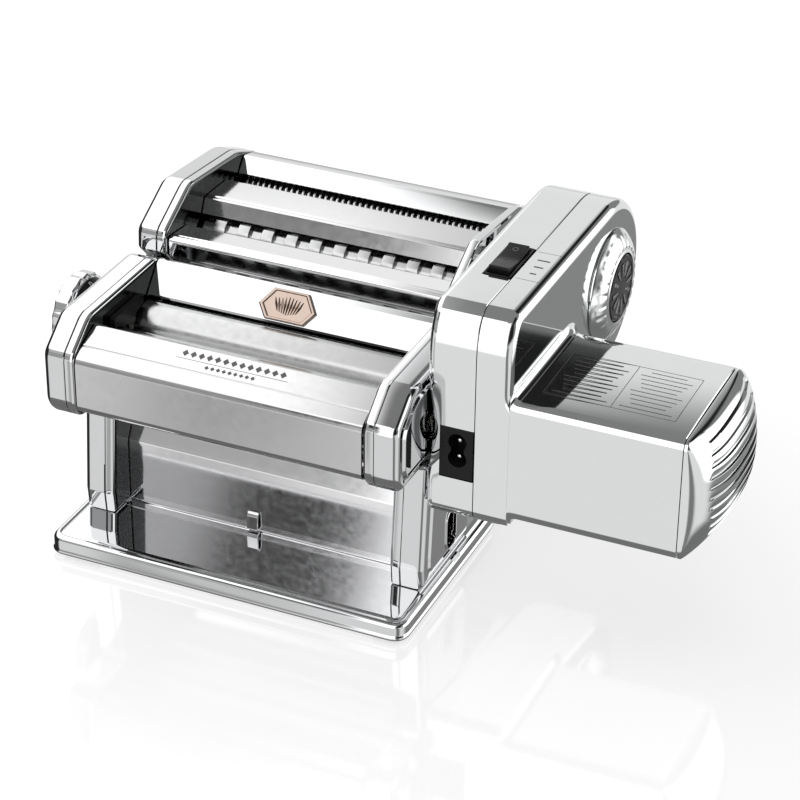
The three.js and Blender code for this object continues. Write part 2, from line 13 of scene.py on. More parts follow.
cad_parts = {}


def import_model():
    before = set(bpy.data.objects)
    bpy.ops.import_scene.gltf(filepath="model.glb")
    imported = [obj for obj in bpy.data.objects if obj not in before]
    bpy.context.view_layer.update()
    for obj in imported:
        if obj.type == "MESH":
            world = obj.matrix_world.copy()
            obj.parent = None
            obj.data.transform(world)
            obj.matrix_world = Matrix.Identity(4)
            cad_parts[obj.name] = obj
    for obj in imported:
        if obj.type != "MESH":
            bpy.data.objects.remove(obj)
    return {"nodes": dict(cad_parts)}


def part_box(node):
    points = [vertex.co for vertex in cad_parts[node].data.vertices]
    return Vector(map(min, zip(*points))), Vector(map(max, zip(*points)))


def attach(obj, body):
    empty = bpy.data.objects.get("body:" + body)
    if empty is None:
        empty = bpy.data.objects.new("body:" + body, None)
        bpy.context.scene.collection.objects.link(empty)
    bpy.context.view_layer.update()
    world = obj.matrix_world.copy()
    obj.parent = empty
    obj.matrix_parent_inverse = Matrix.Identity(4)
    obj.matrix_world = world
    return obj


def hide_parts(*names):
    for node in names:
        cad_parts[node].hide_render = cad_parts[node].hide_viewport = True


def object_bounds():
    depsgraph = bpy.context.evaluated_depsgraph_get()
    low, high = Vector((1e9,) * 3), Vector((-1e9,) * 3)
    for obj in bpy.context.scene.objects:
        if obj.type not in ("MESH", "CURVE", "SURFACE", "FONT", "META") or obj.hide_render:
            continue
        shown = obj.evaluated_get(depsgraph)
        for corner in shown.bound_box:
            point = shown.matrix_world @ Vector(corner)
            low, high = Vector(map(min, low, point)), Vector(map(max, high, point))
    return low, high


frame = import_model()
CAD_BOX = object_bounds()
BASE_LOW, BASE_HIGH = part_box("base_plate")
BASE_FRONT = -0.001
ORIGIN = Vector(((BASE_LOW.x + BASE_HIGH.x) / 2, BASE_LOW.y - BASE_FRONT, BASE_LOW.z))
MM = 0.001


def at(x, y, z):
    return ORIGIN + Vector((x, y, z)) * MM


# ---------- driving dimensions, in machine millimetres ----------
SHEET_HALF = 74.5  # half length of the hoods and panels
SHEET = 1.1  # their thickness
FLOOR_X, RIM_X = 75.0, 80.4  # inner plate and the edge of its flange
COVER_IN, COVER_OUT = 80.7, 93.8
ROLL_HALF, ROLL_R, SHAFT_R = 73.2, 13.6, 5.0
ROLL_Z, FIXED_Y, WIDE_GAP_Y = 100.0, 34.0, 65.6
DIAL_Y = 63.4
CUTTER_R, CUTTER_PITCH = 11.4, 23.0
WIDE_Y, WIDE_Z = 112.4, 120.5
FINE_Y, FINE_Z = 158.4, 124.6
DRIVE_X, SEAM_X, FACE_X, BARREL_X = 94.4, 118.0, 135.0, 217.7

# Side outlines, as (y, z, corner radius).
HEAD = [(31.4, 9.5, 0.5), (89.2, 9.5, 0.5), (89.6, 20.5, 0.4), (87, 79.5, 4), (94, 79.5, 3),
        (98, 84.5, 3), (98, 116.5, 3), (84, 129, 4), (16.6, 129, 4), (-1.5, 115, 4), (-1.5, 86, 5),
        (5, 79.5, 3), (35.2, 79.5, 6), (30.3, 20.5, 0.4)]
HEAD_PANEL = [(38.3, 17.5, 3), (83, 17.5, 3), (83.2, 24, 0.4), (80.5, 87, 5), (88, 87, 2),
              (90.5, 89.5, 2), (90.5, 113, 3), (81, 121.5, 4), (19.4, 121.5, 4), (6, 111.5, 4),
              (6, 90, 4), (9.5, 87, 3), (43.5, 87, 6), (38, 24, 0.4)]
CUTTER_SIDE = [(99.2, 97, 2), (182, 99, 10), (194, 112, 6), (197.5, 129, 4), (196.5, 139.5, 4),
               (174.7, 148.5, 4), (121, 153.4, 4), (93, 138, 4), (92.4, 126.6, 1.5),
               (99.2, 119.5, 1)]
CUTTER_PANEL = [(106, 104, 4), (179, 106, 9), (187.4, 114, 6), (190.4, 129, 4), (189.6, 135, 4),
                (173, 141.6, 4), (122.6, 146, 4), (100.4, 134, 4), (100, 130, 2), (106, 123, 3)]
BARREL = [(28, 63, 6), (112, 63, 15), (112, 126, 14), (28, 126, 5)]


# ---------- outlines ----------
def rounded(corners, steps=8):
    """A closed outline from (a, b, radius) corners; every corner gives steps + 1 points."""
    points = []
    for i, (a, b, radius) in enumerate(corners):
        here = Vector((a, b))
        before = Vector(corners[i - 1][:2]) - here
        after = Vector(corners[(i + 1) % len(corners)][:2]) - here
        start = here + before.normalized() * radius
        end = here + after.normalized() * radius
        for k in range(steps + 1):
            t = k / steps
            points.append(start * (1 - t) ** 2 + here * 2 * t * (1 - t) + end * t * t)
    return points


def rectangle(a0, a1, b0, b1, radius):
    return [(a0, b0, radius), (a1, b0, radius), (a1, b1, radius), (a0, b1, radius)]


def circle(a, b, radius, sides):
    return [(a + radius * math.cos(2 * math.pi * k / sides),
             b + radius * math.sin(2 * math.pi * k / sides)) for k in range(sides)]


def shrunk(corners, wall):
    """The corners moved in by wall; outward corners get tighter, inward ones wider."""
    moved = []
    for i, (a, b, radius) in enumerate(corners):
        here = Vector((a, b))
        into = (here - Vector(corners[i - 1][:2])).normalized()
        out = (Vector(corners[(i + 1) % len(corners)][:2]) - here).normalized()
        normal = Vector((-into.y - out.y, into.x + out.x)).normalized()
        reach = wall / max(0.3, normal.dot(Vector((-into.y, into.x))))
        inward = into.x * out.y - into.y * out.x < 0
        new_radius = max(0.3, radius + (0.6 if inward else -0.6) * wall)
        moved.append((here.x + normal.x * reach, here.y + normal.y * reach, new_radius))
    return moved


def bent(points, steps=5):
    """An open line from (y, z, bend radius) points, with its inner corners rounded."""
    line = [Vector(points[0][:2])]
    for before, here, after in zip(points, points[1:], points[2:]):
        middle = Vector(here[:2])
        to_before, to_after = Vector(before[:2]) - middle, Vector(after[:2]) - middle
        reach = min(here[2], 0.45 * to_before.length, 0.45 * to_after.length)
        to_before = to_before.normalized() * reach
        to_after = to_after.normalized() * reach
        for k in range(steps + 1):
            t = k / steps
            line.append((middle + to_before) * (1 - t) ** 2 + middle * 2 * t * (1 - t)
                        + (middle + to_after) * t * t)
    line.append(Vector(points[-1][:2]))
    return line


def thickened(line, thickness):
    """The closed outline of a sheet whose outer face is the line, thickness to its right."""
    back = []
    for i, here in enumerate(line):
        into = (line[max(i, 1)] - line[max(i, 1) - 1]).normalized()
        last = min(i + 1, len(line) - 1)
        out = (line[last] - line[last - 1]).normalized()
        normal = Vector((into.y + out.y, -into.x - out.x)).normalized()
        back.append(here + normal * thickness / max(0.6, normal.dot(Vector((into.y, -into.x)))))
    return line + back[::-1]


# ---------- meshes ----------
def loft(rings, closed=True):
    """Points and faces of a skin over rings of equal length, with the two ends filled in."""
    n = len(rings[0])
    points = [p for ring in rings for p in ring]
    faces = []
    for i in range(len(rings) - 1):
        for j in range(n):
            k = (j + 1) % n
            faces.append((i * n + j, i * n + k, (i + 1) * n + k, (i + 1) * n + j))
    if closed:
        faces.append(tuple(range(n))[::-1])
        faces.append(tuple(range((len(rings) - 1) * n, len(rings) * n)))
    else:
        for j in range(n):
            k = (j + 1) % n
            a = (len(rings) - 1) * n
            faces.append((a + j, a + k, k, j))
    return points, faces


def joined(*parts):
    points, faces = [], []
    for part_points, part_faces in parts:
        shift = len(points)
        points += part_points
        faces += [tuple(i + shift for i in face) for face in part_faces]
    return points, faces


def side_ring(corners, x):
    return [(x, p.x, p.y) for p in rounded(corners)]


def slab(outline, x0, x1):
    return loft([[(x, p[0], p[1]) for p in outline] for x in (x0, x1)])


def turned_x(profile, y, z, sides=64, radius_at=None):
    """A closed (x, radius) profile turned about the X axis through (y, z)."""
    rings = []
    for k in range(sides):
        angle = 2 * math.pi * k / sides
        ring = []
        for i, (x, radius) in enumerate(profile):
            r = radius_at(i, radius, angle) if radius_at else radius
            ring.append((x, y + r * math.cos(angle), z + r * math.sin(angle)))
        rings.append(ring)
    return loft(rings, closed=False)


def turned_solid(profile, y, z, sides=64):
    """An open (x, radius) profile turned about X, its two ends filled in."""
    return loft([[(x, *p) for p in circle(y, z, radius, sides)] for x, radius in profile])


def block(x0, x1, y0, y1, z0, z1):
    return slab([(y0, z0), (y1, z0), (y1, z1), (y0, z1)], x0, x1)


def flipped(part):
    """The part mirrored to the other side of the machine."""
    points, faces = part
    return [(-x, y, z) for x, y, z in points], faces


def mesh_object(name, part):
    points, faces = part
    mesh = bpy.data.meshes.new(name)
    mesh.from_pydata([at(*p) for p in points], [], faces)
    bm = bmesh.new()
    bm.from_mesh(mesh)
    bmesh.ops.remove_doubles(bm, verts=bm.verts, dist=1e-7)
    bmesh.ops.recalc_face_normals(bm, faces=bm.faces)
    bm.to_mesh(mesh)
    bm.free()
    made = bpy.data.objects.new(name, mesh)
    bpy.context.scene.collection.objects.link(made)
    return made


def applied(made):
    """The object with its modifiers worked into its mesh."""
    graph = bpy.context.evaluated_depsgraph_get()
    mesh = bpy.data.meshes.new_from_object(made.evaluated_get(graph))
    made.modifiers.clear()
    made.data = mesh
    return made


def drilled(made, *tools):
    for i, tool in enumerate(tools):
        cutter = mesh_object(f"{made.name}_cutter_{i}", tool)
        modifier = made.modifiers.new("cut", "BOOLEAN")
        modifier.operation = "DIFFERENCE"
        modifier.solver = "EXACT"
        modifier.object = cutter
        applied(made)
        bpy.data.objects.remove(cutter)
    return made


def bevelled(made, width):
    edges = made.modifiers.new("edges", "BEVEL")
    edges.width = width * MM
    edges.segments = 2
    edges.limit_method = "ANGLE"
    edges.angle_limit = math.radians(40)


def finished(made, material, body, slot, replaces=(), bevel=0.0, sharp=32, second=None):
    """Bevels, shades and hands the piece to its body; second = (material, test of a face)."""
    if bevel:
        bevelled(made, bevel)
        applied(made)
    made.data.shade_smooth()
    made.data.set_sharp_from_angle(angle=math.radians(sharp))
    made.modifiers.new("normals", "WEIGHTED_NORMAL").keep_sharp = True
    made.data.materials.clear()
    made.data.materials.append(material)
    if second:
        made.data.materials.append(second[0])
        for face in made.data.polygons:
            if second[1]((made.matrix_world @ face.center - ORIGIN) / MM):
                face.material_index = 1
    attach(made, body)
    if replaces:
        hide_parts(*replaces)
    return made


def piece(name, part, *rest, **more):
    return finished(mesh_object(name, part), *rest, **more)


# ---------- materials ----------
class Nodes:
    """A short way to write a node tree."""

    def __init__(self, name):
        self.material = bpy.data.materials.new(name)
        self.material.use_nodes = True
        self.tree = self.material.node_tree
        self.shader = self.tree.nodes["Principled BSDF"]

    def node(self, kind, **values):
        made = self.tree.nodes.new(kind)
        for key, value in values.items():
            key = key.replace("_", " ")
            if key in made.inputs:
                made.inputs[key].default_value = value
        return made

    def link(self, source, target):
        self.tree.links.new(source, target)

    def position(self, scale):
        place = self.node("ShaderNodeTexCoord")
        mapping = self.node("ShaderNodeMapping", Scale=scale)
        self.link(place.outputs["Object"], mapping.inputs["Vector"])
        return mapping.outputs["Vector"]

    def noise(self, scale, stretch=(1, 1, 1), detail=3.0):
        made = self.node("ShaderNodeTexNoise", Scale=scale, Detail=detail)
        self.link(self.position(stretch), made.inputs["Vector"])
        return made.outputs["Fac"]

    def ramp(self, source, low, high):
        made = self.node("ShaderNodeValToRGB")
        for stop, place, colour in zip(made.color_ramp.elements, (0.3, 0.7), (low, high)):
            stop.position = place
            stop.color = (*colour, 1)
        self.link(source, made.inputs["Fac"])
        return made.outputs["Color"]

    def bump(self, height, distance, after=None):
        made = self.node("ShaderNodeBump", Strength=1.0, Distance=distance)
        self.link(height, made.inputs["Height"])
        if after is not None:
            self.link(after, made.inputs["Normal"])
        return made.outputs["Normal"]


def grey(value, tint=(1.0, 1.0, 1.0)):
    return tuple(value * t for t in tint)


def metal(name, colour, roughness, grain=None, grain_depth=1.2e-6, wave=0.0):
    """Plated or brushed metal: fine smears in its gloss, a grain along `grain`, soft waviness."""
    n = Nodes(name)
    n.shader.inputs["Metallic"].default_value = 1.0
    dark = tuple(c * 0.985 for c in colour)
    n.link(n.ramp(n.noise(90, detail=5), dark, colour), n.shader.inputs["Base Color"])
    n.link(n.ramp(n.noise(260, detail=6), grey(roughness * 0.8), grey(roughness * 1.2)),
           n.shader.inputs["Roughness"])
    normal = None
    if wave:
        normal = n.bump(n.noise(22, detail=1), wave)
    if grain:
        normal = n.bump(n.noise(1, grain, detail=4), grain_depth, after=normal)
    if normal is not None:
        n.link(normal, n.shader.inputs["Normal"])
    return n.material


def plastic(name, colour, roughness, grain=1.5e-5, scale=2200, gloss=0.5):
    n = Nodes(name)
    n.shader.inputs["Specular IOR Level"].default_value = gloss
    low = tuple(c * 0.8 for c in colour)
    n.link(n.ramp(n.noise(300, detail=4), low, colour), n.shader.inputs["Base Color"])
    n.link(n.ramp(n.noise(500, detail=3), grey(roughness * 0.8), grey(roughness * 1.2)),
           n.shader.inputs["Roughness"])
    n.link(n.bump(n.noise(scale, detail=2), grain), n.shader.inputs["Normal"])
    return n.material


CHROME = metal("mirror_chrome", grey(0.68, (0.985, 0.99, 1.0)), 0.03, wave=1.2e-5)
DRIVE_CHROME = metal("drive_chrome", grey(0.76, (0.985, 1.0, 1.0)), 0.045)
BRUSHED = metal("brushed_chrome", grey(0.60, (0.99, 0.99, 1.0)), 0.11, grain=(40, 4000, 4000))
# painted light: a lighter copy of the brushed sheet, so the rear wall and the front cutter lid read
# brighter, as if more strongly lit
LIT_BRUSHED_SHEET = metal("lit_brushed_sheet", grey(0.86, (0.99, 0.99, 1.0)), 0.09, grain=(40, 4000, 4000))
ROLLER = metal("ground_roller", grey(0.52, (0.99, 1.0, 0.99)), 0.2, grain=(4500, 400, 400))
STEEL = metal("plain_steel", grey(0.30, (0.98, 0.99, 1.0)), 0.24, grain=(500, 500, 500),
              grain_depth=1e-6)
# painted shade: a near-black copy of the plate steel, laid on the plate faces inside the machine where
# shade falls
PAINTED_SHADE_STEEL = metal("painted_shade_steel", grey(0.085, (0.97, 1.0, 1.02)), 0.12)
SATIN = metal("satin_chrome", grey(0.74, (0.985, 1.0, 1.0)), 0.16)
BLACK = plastic("black_plastic", grey(0.006), 0.3, gloss=0.2)
GLOSS_BLACK = plastic("gloss_black", grey(0.01), 0.12, grain=4e-6)
NYLON = plastic("white_nylon", (0.62, 0.60, 0.54), 0.5)
RUBBER = plastic("foot_rubber", grey(0.018), 0.8, grain=4e-5, scale=900)
PRINT = plastic("grey_print", grey(0.06), 0.5)
FAINT = plastic("faint_print", grey(0.05), 0.5, gloss=0.2)
NUMBER = plastic("pale_number", grey(0.25), 0.5)
BADGE = metal("badge_metal", (0.44, 0.35, 0.30), 0.14)


# ---------- base ----------
def plate_ring(inset, z):
    half, front, back, corner = 96.5, -1.0, 119.0, 9.0
    corners = rectangle(-half + inset, half - inset, front + inset, back - inset,
                        max(corner - inset, 0.8))
    return [(p.x, p.y, z) for p in rounded(corners)]


def arc(centre, radius, start, end, steps=6):
    """Points of an arc in degrees round (a, b)."""
    made = []
    for k in range(steps + 1):
        angle = math.radians(start + (end - start) * k / steps)
        made.append((centre[0] + radius * math.cos(angle), centre[1] + radius * math.sin(angle)))
    return made


def base_plate():
    outer = [(1.4, 0.0), (0.5, 0.1), (0.1, 0.6), (0.0, 1.2), (0.15, 2.0), (0.5, 2.5), (0.6, 3.2)]
    outer += [(3.0 - a, b) for a, b in arc((0, 6.8), 2.4, 0, 90)]
    outer += [(3.9, 9.1), (4.5, 8.9), (5.0, 8.9), (5.6, 9.2), (7.0, 9.2)]
    inner = [(7.0, 7.8), (4.6, 7.6), (2.6, 6.4), (1.9, 4.0), (1.8, 1.0), (1.6, 0.2)]
    rings = [plate_ring(inset, z) for inset, z in outer[::-1]]
    under = [plate_ring(inset, z) for inset, z in inner[::-1]]
    made = mesh_object("base_tray", loft(rings + under))
    drilled(made, *[block(slot - 1.3, slot + 1.3, 63, 71, 5, 12) for slot in (-94.3, 94.3)])
    return finished(made, CHROME, "frame", "chrome_sheet", ["base_plate"], sharp=40)


# ---------- pressed sides ----------
def inner_plate(name, corners, holes, body, replaces, side):
    """A plate with a flange along its outline, open to the outside, holes cut through; its face
    towards the rollers is painted dark as shade.
    """
    bend = 2.2
    rings = [side_ring(shrunk(corners, 1.6), RIM_X), side_ring(shrunk(corners, 0.35), RIM_X),
             side_ring(corners, RIM_X - 0.35)]
    for a, b in arc((0, 0), bend, 0, 90, 5):
        rings.append(side_ring(shrunk(corners, bend - a), FLOOR_X + bend - b))
    inside = [side_ring(shrunk(corners, bend), FLOOR_X + 1.6),
              side_ring(shrunk(corners, 1.6), FLOOR_X + 2.4)]
    part, tools = loft(inside + rings), holes
    if side < 0:
        part, tools = flipped(part), [flipped(t) for t in tools]
    made = drilled(mesh_object(name, part), *tools)
    # painted shade: the plate face towards the rollers gets the near-black steel, the rest of the same
    # sheet stays chrome
    return finished(made, CHROME, body, "plain_steel", replaces,
                    second=(PAINTED_SHADE_STEEL, lambda p: abs(p.x) < FLOOR_X + 0.4))


def outer_cover(name, corners, panel, holes, body, replaces, side, extra=()):
    """A deep-drawn cover: rounded shoulder, flat border and a raised middle panel."""
    edge_r = 4.2
    border_x = COVER_OUT - 1.3
    rings = [side_ring(shrunk(corners, 1.2), COVER_IN), side_ring(shrunk(corners, 0.3), COVER_IN),
             side_ring(corners, COVER_IN + 0.3), side_ring(corners, border_x - edge_r)]
    for a, b in arc((0, 0), edge_r, 0, 90, 6)[1:]:
        rings.append(side_ring(shrunk(corners, edge_r - a), border_x - edge_r + b))
    rings += [side_ring(shrunk(panel, inset), x) for inset, x in (
        (-2.4, border_x), (-1.6, border_x + 0.2), (-0.6, COVER_OUT - 0.25), (0.2, COVER_OUT))]
    inside = [side_ring(panel, COVER_OUT - 1.2), side_ring(shrunk(panel, -1.2), border_x - 1.0),
              side_ring(shrunk(corners, edge_r), border_x - 1.2),
              side_ring(shrunk(corners, 1.2), border_x - edge_r)]
    part = loft(inside + rings)
    tools, more = holes, extra
    if side < 0:
        part = flipped(part)
        tools, more = [flipped(t) for t in tools], [flipped(t) for t in more]
    made = drilled(mesh_object(name, part), *tools)
    for i, added in enumerate(more):
        piece(f"{name}_{i}", added, CHROME, body, "chrome_sheet", bevel=0.25)
    return finished(made, CHROME, body, "chrome_sheet", replaces, sharp=38)


def round_tool(y, z, radius, x0=70, x1=99, sides=40):
    return turned_solid([(x0, radius), (x1, radius)], y, z, sides)


def oval(y0, y1, z0, z1, radius, grow=0.0):
    return rounded(rectangle(y0 - grow, y1 + grow, z0 - grow, z1 + grow, radius + grow), 6)


def collar(outline_at, x_face, depth=3.0, wall=1.1):
    """A rolled rim round a hole: outline_at(grow) gives the hole's outline."""
    section = [(0.0, -depth), (0.0, 0.2), (0.25, 0.6), (0.7, 0.75), (wall, 0.5), (wall + 0.3, 0.0),
               (wall, -0.8), (wall, -depth)]
    rings = [[(x_face + dx, p[0], p[1]) for p in outline_at(grow)] for grow, dx in section]
    return loft(rings, closed=False)


def head_sides():
    travel, half = 4.4, 8.8
    slot = block(70, 79, WIDE_GAP_Y - travel - half, WIDE_GAP_Y + half, 92.2, 107.8)
    bore = round_tool(FIXED_Y, ROLL_Z, 8.3, 70, 79)
    clamp_hole = (56, 68, 18, 39, 5.5)
    clamp = slab(oval(*clamp_hole), 84, 96)
    lug = block(83.5, 89, 97, 103.5, 90, 106)
    clamp_rim = collar(lambda grow: oval(*clamp_hole, grow - 0.3), COVER_OUT)
    for side, word in ((1, "right"), (-1, "left")):
        inner_plate(f"inner_side_{word}", HEAD, [slot, bore], "frame", [f"side_frame_{word}"], side)
        y, radius = (FIXED_Y, 6.5) if side > 0 else (DIAL_Y, 5.8)
        hole = round_tool(y, ROLL_Z, radius, 84, 96)
        outer_cover(f"outer_cover_{word}", HEAD, HEAD_PANEL, [clamp, hole], "frame",
                    [f"side_cover_{word}"], side, extra=[lug, clamp_rim])


# ---------- folded sheets ----------
def folded(name, points, material, body, slot_name, replaces):
    """A sheet bent along its (y, z, bend radius) points, as long as the dough is wide."""
    part = slab(thickened(bent(points), SHEET), -SHEET_HALF, SHEET_HALF)
    return piece(name, part, material, body, slot_name, replaces, bevel=0.15, sharp=35)


def head_sheets():
    # painted light: the rear wall takes the lighter copy of the brushed sheet
    folded("rear_wall", [(40.5, 9.6, 0), (46.2, 9.6, 1.2), (46.5, 44, 2), (60, 71, 0)], LIT_BRUSHED_SHEET,
           "frame", "brushed_sheet", ["back_panel"])
    tab = thickened(bent([(46.0, 10.2, 0), (43.4, 10.6, 1.4), (44.0, 19.0, 1.4), (45.4, 20.6, 0)]),
                    1.0)
    piece("panel_tab", slab(tab, -8.0, -2.4), BRUSHED, "frame", "brushed_sheet", bevel=0.4)
    hood = [(11, 84.6, 0), (0.9, 84.6, 2.4), (-1.3, 87.6, 1.5), (-1.3, 113.9, 5.2),
            (6.4, 117.7, 0.3), (7.0, 117.5, 0.25), (7.6, 118.3, 0.3), (18.4, 123.4, 0.9),
            (20.0, 123.1, 0.6), (20.7, 121.7, 0.4), (22.1, 121.5, 0.5), (22.8, 119.9, 0.4),
            (24.2, 119.6, 0.5), (25.2, 117.2, 0)]
    folded("front_hood_sheet", hood, BRUSHED, "frame", "brushed_sheet", ["front_hood"])
    rear = [(70.7, 114.3, 0), (71.2, 115.2, 0.3), (82.8, 128.0, 1.6), (86.6, 128.2, 1.6),
            (86.6, 86, 0)]
    folded("rear_hood_sheet", rear, CHROME, "frame", "chrome_sheet", ["rear_hood"])


def hexagon(scale):
    return [(sx * scale, sy * scale) for sx, sy in
            ((-15.5, -1), (-10.5, -8), (10.5, -8), (15.5, -1), (9.5, 8), (-9.5, 8))]


def hood_badge():
    """A six-sided badge with a raised frame and a plain sheaf of ridges."""
    slope = math.atan2(128.3 - 114.5, 83.3 - 70.7)

    def lay(u, v, height):
        return (u, 77 + v * math.cos(slope) - height * math.sin(slope),
                121.4 + v * math.sin(slope) + height * math.cos(slope))

    steps = [(1.0, 0.3), (1.0, 0.9), (0.95, 1.6), (0.86, 1.6), (0.82, 1.0)]
    frame_part = loft([[lay(u, v, h) for u, v in hexagon(s)] for s, h in steps])
    badge = piece("badge_frame", frame_part, BADGE, "frame", "chrome_sheet",
                  ["hood_badge"], bevel=0.12)
    ridges = []
    for i in range(-4, 5):
        tall = 4.6 - 0.35 * abs(i)
        lean = 0.32 * i
        ring = []
        for v, width in ((-tall, 0.3), (0, 0.75), (tall, 0.25)):
            u = i * 1.55 + lean * v / tall
            ring.append([lay(u - width, v, 0.95), lay(u, v, 1.55), lay(u + width, v, 0.95)])
        ridges.append(loft(ring))
    piece("badge_relief", joined(*ridges), BADGE, "frame", "chrome_sheet")
    return badge


# ---------- smooth rollers ----------
def smooth_roller(name, y, right, socket, body, replaces):
    profile = [(-80, 4.4), (-79.6, SHAFT_R), (-ROLL_HALF, SHAFT_R), (-ROLL_HALF, ROLL_R - 0.5),
               (-ROLL_HALF + 0.5, ROLL_R), (ROLL_HALF - 0.5, ROLL_R), (ROLL_HALF, ROLL_R - 0.5),
               (ROLL_HALF, SHAFT_R), (right - 0.6, SHAFT_R), (right, 4.4)]
    made = mesh_object(name, turned_solid(profile, y, ROLL_Z, 96))
    if socket:
        half = 2.6
        drilled(made, block(right - 9, right + 1, y - half, y + half, ROLL_Z - half, ROLL_Z + half))
    return finished(made, ROLLER, body, "roller_metal", replaces)


def rolling_head():
    smooth_roller("front_roller", FIXED_Y, 90.5, True, "fixed_roller", ["fixed_roller"])
    smooth_roller("rear_roller", WIDE_GAP_Y, 88.5, False, "adjustable_roller",
                  ["adjustable_roller"])


# ---------- dial ----------
def dial():
    y, z = DIAL_Y, ROLL_Z
    flutes = 18

    def scallop(i, radius, angle):
        if radius < 20:
            return radius
        return radius - 0.75 * abs(math.sin(flutes * angle / 2)) ** 1.6

    knob = [(-94.4, 5.4), (-94.4, 12.3), (-95.0, 12.9), (-97.9, 12.9), (-98.3, 13.6),
            (-104.6, 19.6), (-104.8, 20.4), (-105.5, 21.3), (-106.3, 21.6), (-112.2, 21.6),
            (-113.1, 21.2), (-113.6, 20.3), (-113.6, 18.2), (-113.0, 17.4), (-112.6, 16.6),
            (-112.6, 11.4), (-113.0, 10.6), (-113.0, 9.5), (-101.4, 9.5), (-101.4, 5.4)]
    part = turned_x(knob, y, z, 144, scallop)
    piece("fluted_knob", part, CHROME, "dial_knob", "bright_trim", ["dial_knob"])
    ring = [(-98.5, 13.3), (-98.5, 15.4), (-98.8, 15.7), (-104.3, 19.3), (-104.6, 19.0),
            (-104.6, 13.3)]
    piece("number_ring", turned_x(ring, y, z, 96), BLACK, "dial_knob",
          "black_plastic", ["dial_ring"])
    dial_numbers(y, z)
    shaft = [(-80.6, 9.0), (-85.0, 9.0), (-85.0, 5.0), (-110.6, 5.0), (-110.6, 8.8),
             (-111.0, 9.1), (-112.7, 9.1), (-113.0, 8.7)]
    made = mesh_object("cam_and_shaft", turned_solid(shaft, y, z, 64))
    finished(made, STEEL, "dial_shaft", "plain_steel", ["dial_shaft"])
    wire = bpy.data.curves.new("return_spring", "CURVE")
    wire.dimensions = "3D"
    wire.bevel_depth = 0.4 * MM
    wire.bevel_resolution = 3
    turns, count = 3, 96
    line = wire.splines.new("POLY")
    line.points.add(count)
    for k in range(count + 1):
        angle = turns * 2 * math.pi * k / count
        line.points[k].co = (*at(-109.6 + 3.6 * k / count, y + 7.2 * math.cos(angle),
                                 z + 7.2 * math.sin(angle)), 1)
    wire.use_fill_caps = True
    spring = bpy.data.objects.new("return_spring", wire)
    bpy.context.scene.collection.objects.link(spring)
    wire.materials.append(STEEL)
    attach(spring, "dial_shaft")
    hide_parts("dial_spring")


def dial_numbers(y, z):
    """Pale digits round the cone of the number ring, 0 to 9."""
    cone_x, cone_r = -101.6, 17.65
    slope = math.atan2(19.3 - 15.7, 5.5)
    for digit in range(10):
        angle = math.radians(90 - 36 * digit)
        text = bpy.data.curves.new(f"digit_{digit}", "FONT")
        text.body = str(digit)
        text.size = 4.6 * MM
        text.align_x = "CENTER"
        text.align_y = "CENTER"
        text.extrude = 0.12 * MM
        made = bpy.data.objects.new(f"dial_digit_{digit}", text)
        bpy.context.scene.collection.objects.link(made)
        out = Vector((0, math.cos(angle), math.sin(angle)))
        normal = (out * math.cos(slope) + Vector((1, 0, 0)) * math.sin(slope)).normalized()
        up = Vector((-1, 0, 0)) * math.cos(slope) + out * math.sin(slope)
        across = up.cross(normal).normalized()
        turn = Matrix((across, up, normal)).transposed().to_4x4()
        middle = at(cone_x, y, z) + out * cone_r * MM + normal * 0.02 * MM
        made.matrix_world = Matrix.Translation(middle) @ turn
        graph = bpy.context.evaluated_depsgraph_get()
        mesh = bpy.data.meshes.new_from_object(made.evaluated_get(graph))
        mesh.transform(made.matrix_world)
        solid = bpy.data.objects.new(f"dial_number_{digit}", mesh)
        bpy.context.scene.collection.objects.link(solid)
        bpy.data.objects.remove(made)
        mesh.materials.clear()
        mesh.materials.append(NUMBER)
        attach(solid, "dial_knob")


# ---------- cutter attachment ----------
def comb_roller(kind, place, y, z, driven, pitch, disc, depth):
    """A grooved roller: discs of width `disc` every `pitch`, grooves `depth` deep."""
    tip, low = CUTTER_R, CUTTER_R - depth
    right, shift = (90, 0.0) if driven else (84, pitch / 2)
    body = f"{kind}_cutter_{place}"
    profile = [(-88, 3.5), (-87.6, 4.0), (-ROLL_HALF, 4.0)]
    profile.append((-ROLL_HALF, low))
    start = -ROLL_HALF + shift
    while start + disc < ROLL_HALF + 0.01:
        profile += [(start, low), (start + 0.1, tip - 0.1), (start + 0.3, tip),
                    (start + disc - 0.3, tip), (start + disc - 0.1, tip - 0.1),
                    (start + disc, low)]
        start += pitch
    profile += [(ROLL_HALF, low), (ROLL_HALF, 4.0)]
    if driven:
        profile += [(78.5, 4.0), (78.5, 6.4), (right - 0.5, 6.4), (right, 5.9), (right, 4.2),
                    (81, 4.2), (81, 0.01)]
    else:
        profile += [(right - 0.5, 4.0), (right, 3.5)]
    piece(f"{kind}_comb_{place}", turned_solid(profile, y, z, 48), ROLLER, body, "roller_metal",
          [body], sharp=28)


